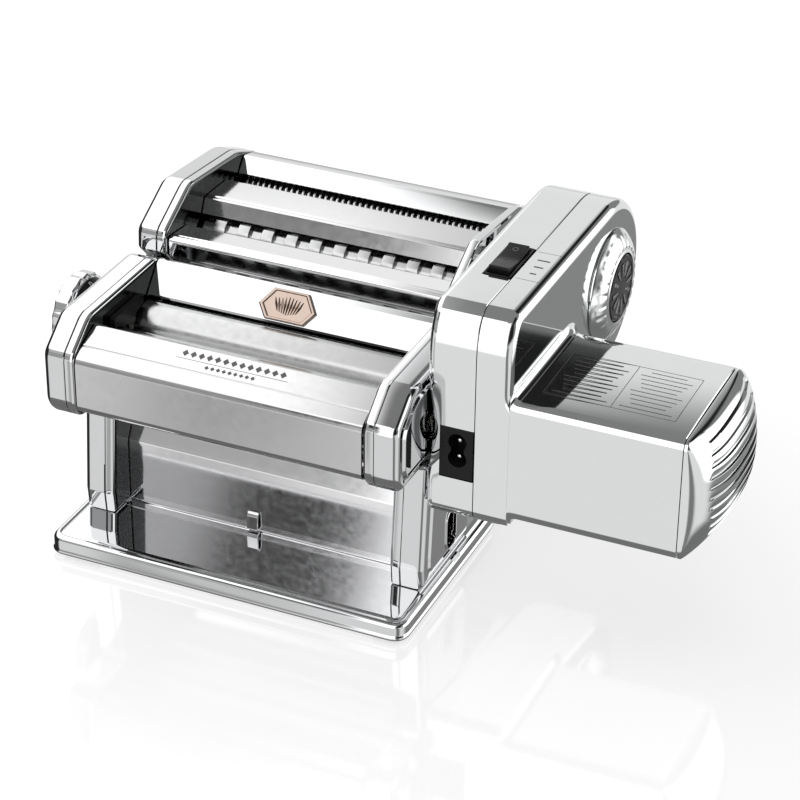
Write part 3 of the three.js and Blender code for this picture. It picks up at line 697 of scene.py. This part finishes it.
def cutter_attachment():
    body = "cutter_attachment"
    axes = ((WIDE_Y, WIDE_Z), (WIDE_Y + CUTTER_PITCH, WIDE_Z), (FINE_Y, FINE_Z),
            (FINE_Y + CUTTER_PITCH, FINE_Z))
    bores = [round_tool(y, z, 4.3, 70, 79, 24) for y, z in axes]
    mouth = block(83.1, 89.4, 96, 105, 90, 106.4)
    sockets = [round_tool(WIDE_Y, WIDE_Z, 7.5, 86, 96), round_tool(FINE_Y, FINE_Z, 7.5, 86, 96)]
    for side, word in ((1, "right"), (-1, "left")):
        inner_plate(f"cutter_plate_{word}", CUTTER_SIDE, bores, body, [f"cutter_side_{word}"], side)
        holes = [mouth] + (sockets if side > 0 else [])
        outer_cover(f"cutter_cap_{word}", CUTTER_SIDE, CUTTER_PANEL, holes, body,
                    [f"cutter_cover_{word}"], side)
    front = [(96.2, 122.6, 0), (94.9, 124.4, 0.8), (94.4, 134.0, 2.0), (97.4, 135.2, 0.6),
             (98.6, 134.7, 0.3), (99.6, 135.0, 0.3), (113.2, 133.7, 0)]
    # painted light: the front lid takes the lighter copy of the brushed sheet
    folded("front_cutter_lid", front, LIT_BRUSHED_SHEET, body, "chrome_sheet", ["cutter_front_cover"])
    middle = [(130.6, 132.6, 0), (134.0, 140.0, 0.9), (135.4, 140.1, 0.3), (136.4, 139.8, 0.3),
              (137.4, 140.3, 0.4), (158.2, 139.7, 0.8), (160, 137.4, 0)]
    folded("middle_cutter_lid", middle, BRUSHED, body, "brushed_sheet", ["cutter_middle_cover"])
    rear = [(171.6, 137.6, 0), (178.2, 144.9, 1.4), (192.4, 141.6, 4.2), (195.4, 128, 5),
            (192.6, 113, 0)]
    folded("rear_cutter_lid", rear, CHROME, body, "chrome_sheet", ["cutter_rear_cover"])
    for kind, y, z, pitch, disc, depth in (("wide", WIDE_Y, WIDE_Z, 13.3, 6.5, 2.4),
                                           ("fine", FINE_Y, FINE_Z, 3.24, 1.5, 3.4)):
        comb_roller(kind, "front", y, z, True, pitch, disc, depth)
        comb_roller(kind, "rear", y + CUTTER_PITCH, z, False, pitch, disc, depth)


# ---------- drive unit ----------
DRIVE_BROW = 143.0  # height where the straight front turns into the rounded top edge
SCOOP_LOW, SCOOP_HIGH, SCOOP_DEPTH, SCOOP_REACH = 76.0, 130.0, 5.4, 7.5


def drive_ring(x, inset=0.0, scoop=0.0):
    """The housing's side outline at x: flat front, rounded top edge, large round back."""
    front = 28.0 + inset
    lean = math.degrees(math.pi * 0.0545)
    points = arc((35, 64), 7 - inset, 180, 270 + lean, 10)
    points += arc((159, 123), 44 - inset, -90 + lean, 90, 40)
    for k in range(15):
        angle = math.radians(90 + 90 * k / 14)
        points.append((41 + (13 - inset) * math.cos(angle),
                       DRIVE_BROW + (167 - DRIVE_BROW - inset) * math.sin(angle)))
    for k in range(1, 34):
        points.append((front, DRIVE_BROW - (DRIVE_BROW - 64) * k / 34))
    if scoop:
        points = [(y + scoop * scoop_share(y, z), z) for y, z in points]
    return [(x, y, z) for y, z in points]


def scoop_share(y, z):
    """How strongly the finger hollow bites at this place of the front left edge."""
    if y > 41 or not SCOOP_LOW < z < SCOOP_HIGH:
        return 0.0
    t = (z - SCOOP_LOW) / (SCOOP_HIGH - SCOOP_LOW)
    return math.sin(math.pi * t) ** 1.5 * min(1.0, (41 - y) / 5)


def scoop_at(offset):
    """Depth of the finger hollow this far from the drive's left face."""
    return SCOOP_DEPTH * max(0.0, 1 - offset / SCOOP_REACH) ** 1.6


def drive_inner():
    edge_r = 2.6
    rings = [drive_ring(DRIVE_X + 2.0, edge_r + 4, scoop_at(0)),
             drive_ring(DRIVE_X, edge_r + 3.6, scoop_at(0))]
    for a, b in arc((0, 0), edge_r, 90, 0, 6):
        rings.append(drive_ring(DRIVE_X + edge_r - b, edge_r - a, scoop_at(edge_r - b)))
    for offset in (3.6, 4.6, 5.6, 6.6, SCOOP_REACH):
        rings.append(drive_ring(DRIVE_X + offset, 0, scoop_at(offset)))
    rings += [drive_ring(SEAM_X - 0.45, 0), drive_ring(SEAM_X - 0.15, 0.3),
              drive_ring(SEAM_X - 0.15, 2.2), drive_ring(DRIVE_X + 2.2, 4.0)]
    made = mesh_object("drive_case_inner", loft(rings))
    drilled(made, block(100.9, SEAM_X + 1, 26, 34, 79.3, 106.7),
            block(103.8, SEAM_X + 1, 67.3, 100.7, 161, 170))
    finished(made, DRIVE_CHROME, "drive_unit", "drive_shell", ["drive_inner_housing"], sharp=30)
    boss = [(DRIVE_X - 0.4, 9.0), (DRIVE_X - 0.4, 13.6), (DRIVE_X, 14.0),
            (DRIVE_X + 1.5, 14.0), (DRIVE_X + 1.5, 9.0)]
    piece("drive_boss", turned_x(boss, FINE_Y, FINE_Z, 64), DRIVE_CHROME,
          "drive_unit", "drive_shell")


def face_share(y, z):
    """The right edge's rounding fades out where the barrel is flush with the front."""
    return 1.0 if y > 30 else smooth_step(z, 122, 128)


def drive_outer():
    edge_r = 5.0
    rings = [drive_ring(SEAM_X + 2.0, 2.4), drive_ring(SEAM_X + 0.15, 2.2),
             drive_ring(SEAM_X + 0.15, 0.3), drive_ring(SEAM_X + 0.45, 0),
             drive_ring(FACE_X - edge_r, 0)]
    nominal = drive_ring(0, 0)
    for a, b in arc((0, 0), edge_r, 0, 90, 7)[1:]:
        inner = drive_ring(0, edge_r - a)
        ring = []
        for (_, y0, z0), (_, y1, z1) in zip(nominal, inner):
            share = face_share(y0, z0)
            ring.append((FACE_X - edge_r + b, y0 + (y1 - y0) * share, z0 + (z1 - z0) * share))
        rings.append(ring)
    made = mesh_object("drive_case_outer", joined(loft(rings), barrel()))
    finished(made, DRIVE_CHROME, "drive_unit", "drive_shell", ["drive_outer_housing"], sharp=30)


def barrel_ring(x, grow=0.0, crown=0.0, inset=0.0):
    """The barrel's outline at x, grown everywhere but on its front, with a crowned top."""
    corners = shrunk(BARREL, inset) if inset else BARREL
    outline = rounded(corners, 10)
    dense = []
    for i, here in enumerate(outline):
        after = outline[(i + 1) % len(outline)]
        pieces = 12 if (after - here).length > 12 else 1
        dense += [here.lerp(after, k / pieces) for k in range(pieces)]
    ring = []
    for i, here in enumerate(dense):
        along = (dense[(i + 1) % len(dense)] - dense[i - 1]).normalized()
        out = Vector((along.y, -along.x))
        share = min(1.0, max(0.0, (here.x - 28) / 6))
        moved = here + out * grow * share
        lift = crown * (1 - ((moved.x - 70) / 42) ** 2) if moved.y > 100 else 0.0
        ring.append((x, moved.x, moved.y + max(0.0, lift)))
    return ring


def barrel():
    flare = 5.0
    rings = []
    for a, b in arc((flare, flare), flare, 180, 270, 7):
        rings.append(barrel_ring(FACE_X - 0.05 + a, b))
    rings.append(barrel_ring((FACE_X + BARREL_X) / 2, 0.0, 0.9))
    rings += [barrel_ring(BARREL_X - 0.5, 0.0, 0.9), barrel_ring(BARREL_X - 0.1, -0.4, 0.9),
              barrel_ring(BARREL_X - 0.1, 0, 0, 4.0)]
    return loft(rings)


def cap_outline(z):
    """Front and back limits of the end cap at height z."""
    outline = rounded(BARREL, 12)
    low, high = 1e9, -1e9
    for here, after in zip(outline, outline[1:] + outline[:1]):
        if (here.y - z) * (after.y - z) <= 0 and abs(after.y - here.y) > 1e-9:
            y = here.x + (after.x - here.x) * (z - here.y) / (after.y - here.y)
            low, high = min(low, y), max(high, y)
    return low, high


def smooth_step(value, low, high):
    t = min(1.0, max(0.0, (value - low) / (high - low)))
    return t * t * (3 - 2 * t)


LOUVRES, LOUVRE_PITCH, LOUVRE_FIRST = 10, 5.3, 73.0


def louvre_rows():
    """(z, depth) of the mesh rows of the louvred field: a steep lip under every long slope."""
    rows = []
    for k in range(LOUVRES):
        z = LOUVRE_FIRST + k * LOUVRE_PITCH
        rows += [(z - 0.25, 0.0), (z, 1.0), (z + 0.4, 1.05), (z + 1.1, 0.62), (z + 2.2, 0.3),
                 (z + 3.4, 0.1), (z + 4.4, 0.0)]
    return rows


def end_cap():
    start, bulge, mid, half = BARREL_X + 0.35, 17.3, 94.5, 31.25
    rows = louvre_rows()
    low, high = rows[0][0], rows[-1][0]
    under = [(mid - half * math.cos(0.5 * math.pi * t / 14), 0.0) for t in range(14)]
    over = [(mid + half * math.cos(0.5 * math.pi * t / 10), 0.0) for t in range(10)]
    rows = [r for r in under if r[0] < low - 0.2] + rows + [r for r in over[::-1] if r[0] > high + 0.2]
    columns = 72
    grid = []
    for z, depth in rows:
        v = (z - mid) / half
        front, back = cap_outline(min(mid + half - 0.02, max(mid - half + 0.02, z)))
        row = []
        for j in range(columns + 1):
            u = math.sin(math.pi * (j / columns - 0.5))
            y = (front + back) / 2 + (back - front) / 2 * u
            rise = max(0.0, 1 - abs(u) ** 2.6) ** 0.56 * max(0.0, 1 - abs(v) ** 2.4) ** 0.55
            x = start + 1.2 + (bulge - 1.2) * rise * (1.0 - 0.08 * (v + 0.2) ** 2)
            bow = 0.008 * (z - 97) ** 2
            field = smooth_step(y, 36 + bow, 38.5 + bow) * (1 - smooth_step(y, 101, 104))
            row.append((x - depth * field, y, z))
        grid.append(row)
    points = [p for row in grid for p in row]
    width, last = columns + 1, len(grid) - 1
    faces = []
    for i in range(last):
        for j in range(columns):
            a = i * width + j
            faces.append((a, a + 1, a + width + 1, a + width))
    edge = list(range(width)) + [width * i + columns for i in range(1, last + 1)]
    edge += [last * width + j for j in range(columns - 1, -1, -1)]
    edge += [width * i for i in range(last - 1, 0, -1)]
    total = len(points)
    points += [(start, points[k][1], points[k][2]) for k in edge]
    n = len(edge)
    for j in range(n):
        k = (j + 1) % n
        faces.append((edge[j], edge[k], total + k, total + j))
    faces.append(tuple(range(total, total + n)))
    made = mesh_object("ribbed_end_cap", (points, faces))
    return finished(made, DRIVE_CHROME, "drive_unit", "bright_trim", ["motor_end_cap"], sharp=42)


def badge():
    """The round end badge: a domed ring with raised bars and a dark disc with a plain relief."""
    y, z = FINE_Y, FINE_Z
    x = FACE_X
    bars = 26
    sides = 208
    rings = []
    profile = [(x + 0.2, 17.2), (x + 6.0, 17.2), (x + 6.6, 17.6), (x + 6.5, 18.4)]
    dome = [(x + 1.2 + 5.1 * (1 - ((r - 18.8) / 9.6) ** 2.0), r) for r in
            [18.8 + 9.6 * k / 20 for k in range(21)]]
    profile += dome + [(x + 0.8, 28.7), (x + 0.2, 28.7)]
    for k in range(sides):
        angle = 2 * math.pi * k / sides
        ring = []
        for px, radius in profile:
            raised = smooth_step(radius, 20.2, 20.9) * (1 - smooth_step(radius, 26.2, 26.9))
            wave = smooth_step(abs(math.sin(bars * angle / 2)), 0.35, 0.75)
            ring.append((px + 0.22 * raised * wave, y + radius * math.cos(angle),
                         z + radius * math.sin(angle)))
        rings.append(ring)
    made = mesh_object("round_badge_ring", loft(rings, closed=False))
    finished(made, SATIN, "drive_unit", "bright_trim", ["badge_ring"], sharp=40)
    disc = [(x + 0.3, 16.8), (x + 6.2, 16.8), (x + 6.9, 16.2), (x + 6.9, 14.9), (x + 6.5, 14.5),
            (x + 6.7, 8.0), (x + 6.8, 0.02)]
    piece("round_badge_disc", turned_solid(disc, y, z, 96), GLOSS_BLACK,
          "drive_unit", "black_plastic", ["badge_disc"])
    relief_part = []
    for k in range(12):
        angle = 2 * math.pi * k / 12
        direction = Vector((math.cos(angle), math.sin(angle)))
        across = Vector((-direction.y, direction.x))
        corners = [direction * 6 - across * 0.5, direction * 13 - across * 1.1,
                   direction * 13 + across * 1.1, direction * 6 + across * 0.5]
        outline = [(y + c.x, z + c.y) for c in corners]
        relief_part.append(slab(outline, x + 6.3, x + 7.1))
    piece("round_badge_rays", joined(*relief_part), STEEL, "drive_unit", "plain_steel", bevel=0.15)


def switch():
    def frame_ring(inset, z):
        corners = rectangle(104.1 + inset, 117.5 - inset, 67.7 + inset, 100.3 - inset, 0.8)
        return [(p.x, p.y, z) for p in rounded(corners, 3)]

    rings = [frame_ring(0, 156), frame_ring(0, 167.3), frame_ring(0.3, 167.6),
             frame_ring(0.9, 167.6), frame_ring(1.3, 167.2), frame_ring(1.3, 156)]
    piece("switch_frame", loft(rings, closed=False), BLACK, "drive_unit",
          "black_plastic", ["switch_bezel"])
    half = 13.0
    dish = [(-half, -1.5, 1), (half, -1.5, 1), (half, 8.4, 0.8), (0, 6.2, 3), (-half, 8.4, 0.8)]
    outline = [(84 + p.x, 162 + p.y) for p in rounded(dish, 6)]
    rocker = mesh_object("switch_key", slab(outline, 105.6, 116.0))
    finished(rocker, BLACK, "switch_rocker", "black_plastic", ["switch_rocker"], bevel=0.5)
    ring = arc((0, 0), 1.5, 0, 360, 24)[:-1]
    inner = arc((0, 0), 1.05, 0, 360, 24)[:-1]
    slope = math.atan2(2.2, 13)
    rows = []
    for shape, dz in ((inner, 0.0), (inner, 0.16), (ring, 0.16), (ring, 0.0)):
        rows.append([(110.8 + a, 92 + b, 162 + 6.2 + (8 + b) * math.tan(slope) + dz - 0.03)
                     for a, b in shape])
    piece("switch_mark", loft(rows, closed=False), PRINT, "switch_rocker", "black_plastic")
    printed_marks()


def printed_marks():
    """Three plain marks and two fine lines beside the switch."""
    marks = []
    top = 167.0
    for y, length in ((77.0, 3.2), (84.0, 4.6), (91.0, 6.2)):
        marks.append(block(125.4 - length / 2, 125.4 + length / 2, y - 0.55, y + 0.55,
                           top - 0.05, top + 0.05))
    for y in (70.0, 99.0):
        marks.append(block(119.5, 131.0, y - 0.12, y + 0.12, top - 0.05, top + 0.04))
    made = mesh_object("switch_labels", joined(*marks))
    finished(made, PRINT, "drive_unit", "drive_shell", sharp=30)


def barrel_top(y):
    """Height of the barrel's crowned top."""
    return 126 + 0.9 * (1 - ((y - 70) / 42) ** 2)


def stroke(x0, y0, x1, y1, wide):
    """A flat line on the barrel's top, its two ends set to the crown."""
    along = Vector((x1 - x0, y1 - y0)).normalized()
    across = Vector((-along.y, along.x)) * wide / 2
    pieces, steps = [], 6
    for k in range(steps):
        ends = [Vector((x0, y0)).lerp(Vector((x1, y1)), t / steps) for t in (k, k + 1)]
        section = ((-1, -0.1), (1, -0.1), (1, 0.04), (-1, 0.04))
        pieces.append(loft([[(p.x + s * across.x, p.y + s * across.y, barrel_top(p.y) + height)
                             for s, height in section] for p in ends]))
    return joined(*pieces)


def barrel_print():
    """A plain ruled frame with a dividing line and rows of fine hatching on the barrel."""
    left, right, front, back, middle = 145.0, 208.5, 43.5, 84.0, 177.5
    lines = [stroke(left, front, right, front, 0.3), stroke(left, back, right, back, 0.3),
             stroke(left, front, left, back, 0.3), stroke(right, front, right, back, 0.3),
             stroke(middle, front, middle, back, 0.3)]
    for row in range(10):
        y = front + 3.4 + 3.75 * row
        for start, end in ((left, middle), (middle, right)):
            inset = 3.0 + 1.3 * ((row * 3) % 4)
            lines.append(stroke(start + inset, y, end - inset, y, 0.5))
    piece("barrel_frame", joined(*lines), FAINT, "drive_unit", "drive_shell")


def hood_print():
    """A plain band of lozenges over a thin rule on the sloping face of the front hood."""
    low, high = Vector((7.6, 118.3)), Vector((18.4, 123.4))
    up = (high - low).normalized()

    def flat(points):
        rings = []
        for height in (-0.06, 0.05):
            rings.append([(u, low.x + up.x * v - up.y * height, low.y + up.y * v + up.x * height)
                          for u, v in points])
        return loft(rings)

    marks = [flat([(-27, 4.9), (31, 4.9), (31, 5.15), (-27, 5.15)])]
    for count, wide, tall, v in ((13, 1.7, 1.9, 8.2), (9, 1.2, 1.2, 2.6)):
        for k in range(count):
            u = 2 + (k - (count - 1) / 2) * 2.5 * wide
            marks.append(flat([(u - wide, v), (u, v - tall), (u + wide, v), (u, v + tall)]))
    piece("hood_ornament", joined(*marks), PRINT, "frame", "brushed_sheet")


def inlet():
    """The two-pin mains inlet: a recess shaped for the plug, with a pin in each end of it."""
    middle, heights = 109.8, (90.3, 98.9)
    body = [(28.1, 79.7, 0.2), (28.1, 106.3, 0.2), (43.5, 106.3, 0.2), (43.5, 79.7, 0.2)]
    made = mesh_object("inlet_body", slab(rounded(body, 1), 101.2, 117.6))
    holes = [loft([[(a, y, b) for a, b in circle(middle, z, 4.6, 40)] for y in (26, 40)])
             for z in heights]
    drilled(made, *holes, block(106.6, 113.0, 26, 40, *heights))
    finished(made, BLACK, "drive_unit", "black_plastic", ["mains_inlet"], bevel=0.2)
    pin = [(41, 1.2), (31.2, 1.2), (30.7, 0.9), (30.5, 0.3)]
    pins = [loft([[(a, y, b) for a, b in circle(middle, z, r, 20)] for y, r in pin])
            for z in heights]
    piece("inlet_pins", joined(*pins), CHROME, "drive_unit", "bright_trim")


# ---------- carried-over CAD nodes ----------
CARRIED = (
    (STEEL, "tie_rod_front tie_rod_rear front_scraper rear_scraper wide_stripper fine_stripper"
            " motor motor_shaft output_shaft"),
    (NYLON, "reduction_gear fixed_roller_gear adjustable_roller_gear fixed_bush_left"
            " fixed_bush_right gap_bush_left gap_bush_right wide_gear_front wide_gear_rear"
            " fine_gear_front fine_gear_rear"),
    (BLACK, "end_guide_left end_guide_right"),
    (RUBBER, "foot_front_left foot_front_right foot_rear_left foot_rear_right"),
)


def carried_over():
    for material, names in CARRIED:
        for name in names.split():
            node = frame["nodes"][name]
            node.data.materials.clear()
            node.data.materials.append(material)
            node.data.shade_smooth()
            node.data.set_sharp_from_angle(angle=math.radians(30))
            if material in (BLACK, RUBBER):
                bevelled(node, 0.4)


# ---------- studio ----------
def camera():
    """Seen from the front right and above."""
    data = bpy.data.cameras.new("camera")
    data.lens = 121.5
    data.sensor_width = 36
    data.clip_start, data.clip_end = 0.01, 20
    made = bpy.data.objects.new("camera", data)
    bpy.context.scene.collection.objects.link(made)
    right = Vector((0.9144, 0.4046, 0.0102))
    back = Vector((0.3452, -0.7929, 0.5021)).normalized()
    up = back.cross(right).normalized()
    right = up.cross(back)
    turn = Matrix((right, up, back)).transposed().to_4x4()
    made.matrix_world = Matrix.Translation(at(510.6, -959.3, 740.0)) @ turn
    bpy.context.scene.camera = made


def floor():
    level = CAD_BOX[0].z
    mesh = bpy.data.meshes.new("floor")
    size = 12
    mesh.from_pydata([(-size, -size, level), (size, -size, level), (size, size, level),
                      (-size, size, level)], [], [(0, 1, 2, 3)])
    made = bpy.data.objects.new("floor", mesh)
    bpy.context.scene.collection.objects.link(made)
    n = Nodes("white_table")
    n.shader.inputs["Base Color"].default_value = (0.2, 0.2, 0.2, 1)
    n.shader.inputs["Roughness"].default_value = 0.06
    n.shader.inputs["IOR"].default_value = 1.7
    n.shader.inputs["Emission Color"].default_value = (1, 1, 1, 1)
    n.shader.inputs["Emission Strength"].default_value = 0.68
    mesh.materials.append(n.material)
    made.visible_glossy = False


def world():
    """A studio seen by the gloss: white cards and dark gaps, as soft patches of direction."""
    made = bpy.data.worlds.new("studio")
    bpy.context.scene.world = made
    made.use_nodes = True
    tree = made.node_tree
    background = tree.nodes["Background"]
    where = tree.nodes.new("ShaderNodeTexCoord")
    axes = tree.nodes.new("ShaderNodeSeparateXYZ")
    tree.links.new(where.outputs["Generated"], axes.inputs[0])

    def number(kind, a, b, c=None):
        node = tree.nodes.new("ShaderNodeMath")
        node.operation = kind
        for socket, value in zip(node.inputs, (a, b, c)):
            if value is None:
                continue
            if isinstance(value, (int, float)):
                socket.default_value = value
            else:
                tree.links.new(value, socket)
        return node.outputs[0]

    def soft(source, low, high):
        node = tree.nodes.new("ShaderNodeMapRange")
        node.interpolation_type = "SMOOTHSTEP"
        tree.links.new(source, node.inputs["Value"])
        node.inputs["From Min"].default_value = low
        node.inputs["From Max"].default_value = high
        return node.outputs["Result"]

    def window(limits):
        """A mask: for each axis, (low start, low end, high end, high start) or None."""
        mask = None
        for axis, limit in zip("XYZ", limits):
            if limit is None:
                continue
            source = axes.outputs[axis]
            rise = soft(source, limit[0], limit[1])
            fall = number("SUBTRACT", 1.0, soft(source, limit[2], limit[3]))
            both = number("MULTIPLY", rise, fall)
            mask = both if mask is None else number("MULTIPLY", mask, both)
        return mask

    def paint(under, value, limits):
        mask = window(limits)
        keep = number("SUBTRACT", 1.0, mask)
        return number("ADD", number("MULTIPLY", under, keep), number("MULTIPLY", mask, value))

    light = OPEN_STUDIO
    for value, limits in CARDS:
        light = paint(light, value, limits)
    tree.links.new(light, background.inputs["Color"])
    background.inputs["Strength"].default_value = 1.0


def below(start, end):
    return (-9, -8, start, end)


def above(start, end):
    return (start, end, 8, 9)


OPEN_STUDIO = 0.26  # brightness where there is no card
# Each card: brightness, then soft limits in x, y and z of the direction it is seen in.
CARDS = [
    # the white ground, with darker patches in front, at the back right and straight below
    (0.92, (None, None, below(-0.06, 0.0))),
    (0.52, ((-0.44, -0.42, -0.40, -0.345), below(-0.3, 0.0), below(-0.2, -0.1))),
    (0.80, ((-0.44, -0.42, -0.40, -0.345), below(-0.3, 0.0), below(-0.53, -0.515))),
    (0.28, (above(-0.1, 0.25), above(0.0, 0.5), below(-0.43, -0.40))),
    (0.24, (below(-0.36, -0.34), below(-0.3, 0.0), below(-0.565, -0.55))),
    (0.24, ((0.36, 0.50, 0.66, 0.80), below(-0.5, -0.2), below(-0.1, 0.0))),
    (0.20, (None, None, below(-0.68, -0.60))),
    # light wall low behind the machine
    (0.95, (below(-0.06, 0.04), above(0.2, 0.4), (-0.02, 0.02, 0.46, 0.575))),
    # overhead softbox on the left, its edge over the machine
    (1.9, (below(-0.39, -0.325), None, above(0.36, 0.42))),
    # softbox in front, reaching low on its right; greyer on the left, with a dark edge
    (1.8, (below(0.3, 0.45), below(-0.3, -0.2), (0.58, 0.62, 0.76, 0.80))),
    (1.8, ((-0.35, -0.335, 0.3, 0.45), below(-0.5, -0.4), (-0.26, -0.18, 0.66, 0.74))),
    (0.45, (below(-0.35, -0.335), below(-0.5, -0.4), (0.0, 0.04, 0.28, 0.34))),
    (0.60, (below(-0.405, -0.395), below(-0.5, -0.4), (0.34, 0.38, 0.60, 0.64))),
    (0.05, ((-0.405, -0.395, -0.35, -0.335), below(-0.5, -0.4), (0.34, 0.38, 0.60, 0.64))),
    # card on the right
    (1.9, (above(0.43, 0.49), above(-0.1, 0.1), (-0.42, -0.36, 0.42, 0.50))),
    # black flags: behind the card's edge, above right, and far left
    (0.02, ((-0.04, 0.04, 0.41, 0.45), above(0.5, 0.6), (0.42, 0.48, 0.74, 0.80))),
    (0.02, (above(0.5, 0.6), (-0.5, -0.4, 0.1, 0.3), above(0.5, 0.6))),
    (0.02, (above(0.45, 0.55), below(-0.40, -0.25), (0.0, 0.08, 0.62, 0.72))),
    (0.03, (below(-0.78, -0.66), None, below(0.40, 0.55))),
]


def lights():
    def area(name, place, target, size, energy):
        data = bpy.data.lights.new(name, "AREA")
        data.shape = "RECTANGLE"
        data.size, data.size_y = size
        data.energy = energy
        made = bpy.data.objects.new(name, data)
        bpy.context.scene.collection.objects.link(made)
        made.location = at(*place)
        aim = at(*target) - made.location
        made.rotation_mode = "QUATERNION"
        made.rotation_quaternion = aim.to_track_quat("-Z", "Y")
        made.visible_glossy = False

    area("overhead", (-200, 100, 1500), (60, 60, 50), (2.2, 2.2), 22)
    area("front", (0, -1600, 900), (60, 60, 60), (1.6, 0.9), 14)
    area("right", (1500, 500, 500), (100, 90, 60), (0.8, 0.8), 5)


def build():
    base_plate()
    head_sides()
    head_sheets()
    hood_badge()
    rolling_head()
    dial()
    cutter_attachment()
    drive_inner()
    drive_outer()
    end_cap()
    badge()
    switch()
    barrel_print()
    hood_print()
    inlet()
    carried_over()


camera()
build()
floor()
world()
lights()
bpy.context.scene.view_settings.view_transform = "Standard"
